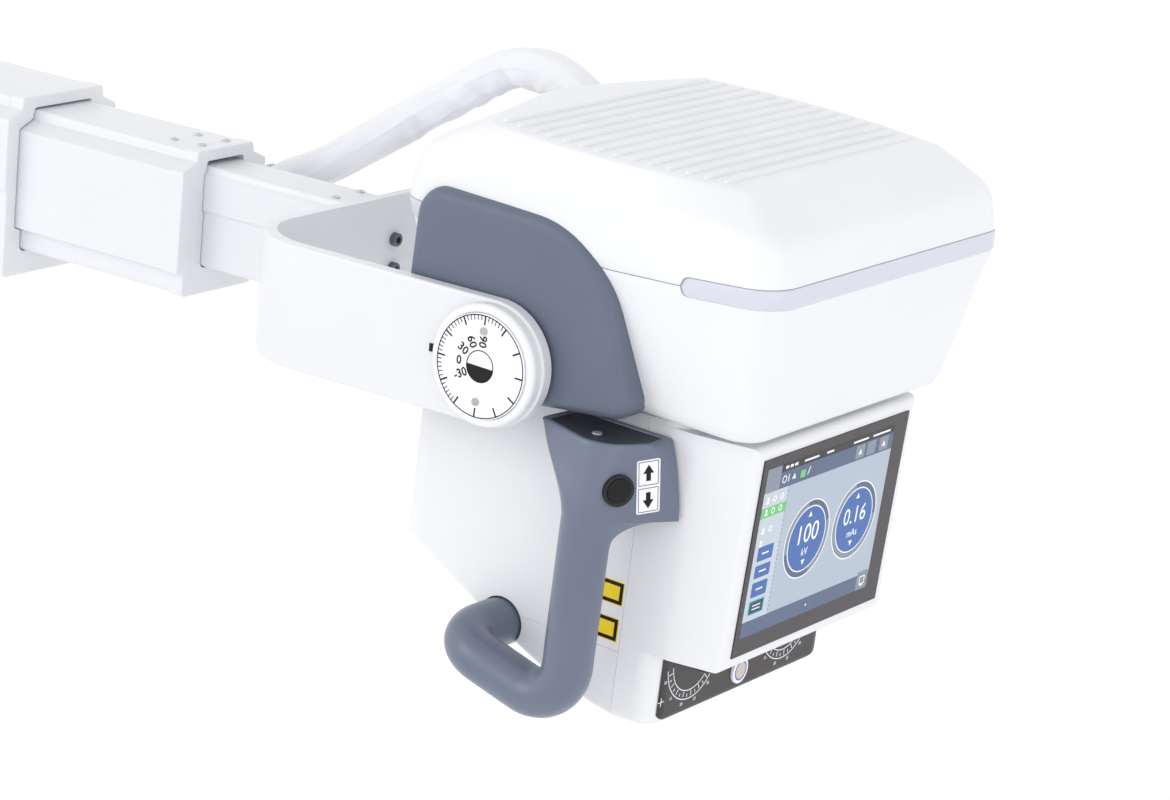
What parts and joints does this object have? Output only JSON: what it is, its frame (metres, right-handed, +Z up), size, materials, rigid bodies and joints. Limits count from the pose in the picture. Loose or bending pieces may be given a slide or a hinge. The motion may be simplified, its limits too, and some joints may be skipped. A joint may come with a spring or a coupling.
{
  "type": "radiographic tube head on telescopic arm",
  "caption": "X-ray tube head with collimator, touch display and side grips, tilting in a fork yoke that rolls at the end of a telescopic arm.",
  "frame": {"origin": "centre of the root flange's back face, between its four bolt holes", "axes": "+X out along the arm to the head, +Y to the far side of the fork, +Z up"},
  "size_m": [1.3939, 0.459, 0.518],
  "materials": {
    "white_enamel": "satin",
    "white_cover": "satin",
    "grey_pad": "soft matte",
    "light_strip": "frosted",
    "hose_sleeve": "coated fabric",
    "steel": "plated",
    "slide_plastic": "matte",
    "dial_face": "satin",
    "dark_plastic": "satin",
    "button_black": "glossy",
    "display_glass": "glossy",
    "lamp_button": "satin",
    "aluminium": "machined",
    "housing_paint": "satin",
    "insert_glass": "clear",
    "target_metal": "dull",
    "lead": "dull",
    "mirror": "polished",
    "window": "smooth"
  },
  "bodies": {
    "arm_base": {"root_flange": "white_enamel", "outer_tube": "white_enamel", "outer_collar": "white_enamel", "outer_pads": "slide_plastic"},
    "mid_stage": {"mid_tube": "white_enamel", "mid_collar": "white_enamel", "mid_pads": "slide_plastic", "mid_screws": "steel"},
    "inner_stage": {"inner_tube": "white_enamel", "inner_screws": "steel", "roll_bearing": "steel"},
    "yoke": {"yoke_frame": "white_enamel", "yoke_bosses": "white_cover", "index_marks": "dark_plastic", "yoke_shaft": "steel", "yoke_screws": "steel", "cable_bracket": "white_enamel", "hose_clamp": "steel", "hose": "hose_sleeve"},
    "head": {"dials": "dial_face", "dial_screws": "steel", "dial_hubs": "dark_plastic", "trunnions": "steel", "chassis": "aluminium", "upper_cover": "white_cover", "lower_cover": "white_cover", "light_strips": "light_strip", "side_pad_near": "grey_pad", "side_pad_far": "grey_pad", "tube_housing": "housing_paint", "tube_insert": "insert_glass", "cathode": "target_metal", "high_voltage_tank": "housing_paint", "hose_gland": "steel", "collimator_neck": "aluminium", "rear_shell": "white_cover", "bottom_cover": "white_cover", "front_shell": "white_cover", "display_bezel": "dark_plastic", "display_panel": "display_glass", "scale_panel": "dark_plastic", "pan_screws": "steel", "field_lamp": "aluminium", "mirror": "mirror", "shutter_frame": "aluminium", "exit_window": "window", "handle_near": "grey_pad", "handle_far": "grey_pad", "button_rings": "button_black", "arrow_labels": "dial_face"},
    "anode": {"anode": "target_metal"},
    "knob_width": {"knob_width": "dark_plastic"},
    "knob_length": {"knob_length": "dark_plastic"},
    "blade_rear": {"blade_rear": "lead"},
    "blade_front": {"blade_front": "lead"},
    "blade_near": {"blade_near": "lead"},
    "blade_far": {"blade_far": "lead"},
    "button_near": {"button_near": "button_black"},
    "button_far": {"button_far": "button_black"},
    "lamp_button": {"lamp_button": "lamp_button"}
  },
  "joints": [
    {"name": "arm_slide", "type": "slide", "parent": "arm_base", "child": "mid_stage", "axis": [1, 0, 0], "range_m": [-0.085, 0.05]},
    {"name": "inner_slide", "type": "slide", "parent": "mid_stage", "child": "inner_stage", "axis": [1, 0, 0], "range_m": [-0.068, 0.04]},
    {"name": "yoke_roll", "type": "hinge", "parent": "inner_stage", "child": "yoke", "pos_m": [0.769, 0, 0.0105], "axis": [1, 0, 0], "range_deg": [-90, 90]},
    {"name": "head_tilt", "type": "hinge", "parent": "yoke", "child": "head", "pos_m": [1.125, 0, 0.0105], "axis": [0, -1, 0], "range_deg": [-28, 92], "deforming": ["hose"]},
    {"name": "anode_spin", "type": "hinge", "parent": "head", "child": "anode", "pos_m": [1.16284, 0.045, 0.09123], "axis": [0, 1, 0], "continuous": true},
    {"name": "knob_width_turn", "type": "hinge", "parent": "head", "child": "knob_width", "pos_m": [1.28421, -0.086, -0.24421], "axis": [0.9994, 0, -0.0349], "range_deg": [-110, 238]},
    {"name": "knob_length_turn", "type": "hinge", "parent": "head", "child": "knob_length", "pos_m": [1.28421, 0.071, -0.24421], "axis": [0.9994, 0, -0.0349], "range_deg": [-110, 238]},
    {"name": "blade_near_slide", "type": "slide", "parent": "head", "child": "blade_near", "axis": [0, -1, 0], "range_m": [-0.019, 0.041]},
    {"name": "blade_far_slide", "type": "slide", "parent": "head", "child": "blade_far", "axis": [0, 1, 0], "range_m": [-0.0195, 0.042]},
    {"name": "blade_rear_slide", "type": "slide", "parent": "head", "child": "blade_rear", "axis": [-0.9994, 0, 0.0349], "range_m": [-0.019, 0.041]},
    {"name": "blade_front_slide", "type": "slide", "parent": "head", "child": "blade_front", "axis": [0.9994, 0, -0.0349], "range_m": [-0.0195, 0.042]},
    {"name": "button_near_press", "type": "slide", "parent": "head", "child": "button_near", "axis": [-0.873, 0.4867, 0.0305], "range_m": [0, 0.0015], "stiffness_N_per_m": 600},
    {"name": "button_far_press", "type": "slide", "parent": "head", "child": "button_far", "axis": [-0.873, -0.4867, 0.0305], "range_m": [0, 0.0015], "stiffness_N_per_m": 600},
    {"name": "lamp_button_press", "type": "slide", "parent": "head", "child": "lamp_button", "axis": [-0.9994, 0, 0.0349], "range_m": [0, 0.0015], "stiffness_N_per_m": 500}
  ],
  "couplings": [
    {"joint": "inner_slide", "follows": "arm_slide", "ratio": 0.8},
    {"joint": "knob_width_turn", "follows": "blade_near_slide", "rad_per_m": 100},
    {"joint": "blade_far_slide", "follows": "blade_near_slide", "ratio": 1},
    {"joint": "knob_length_turn", "follows": "blade_rear_slide", "rad_per_m": 100},
    {"joint": "blade_front_slide", "follows": "blade_rear_slide", "ratio": 1}
  ]
}
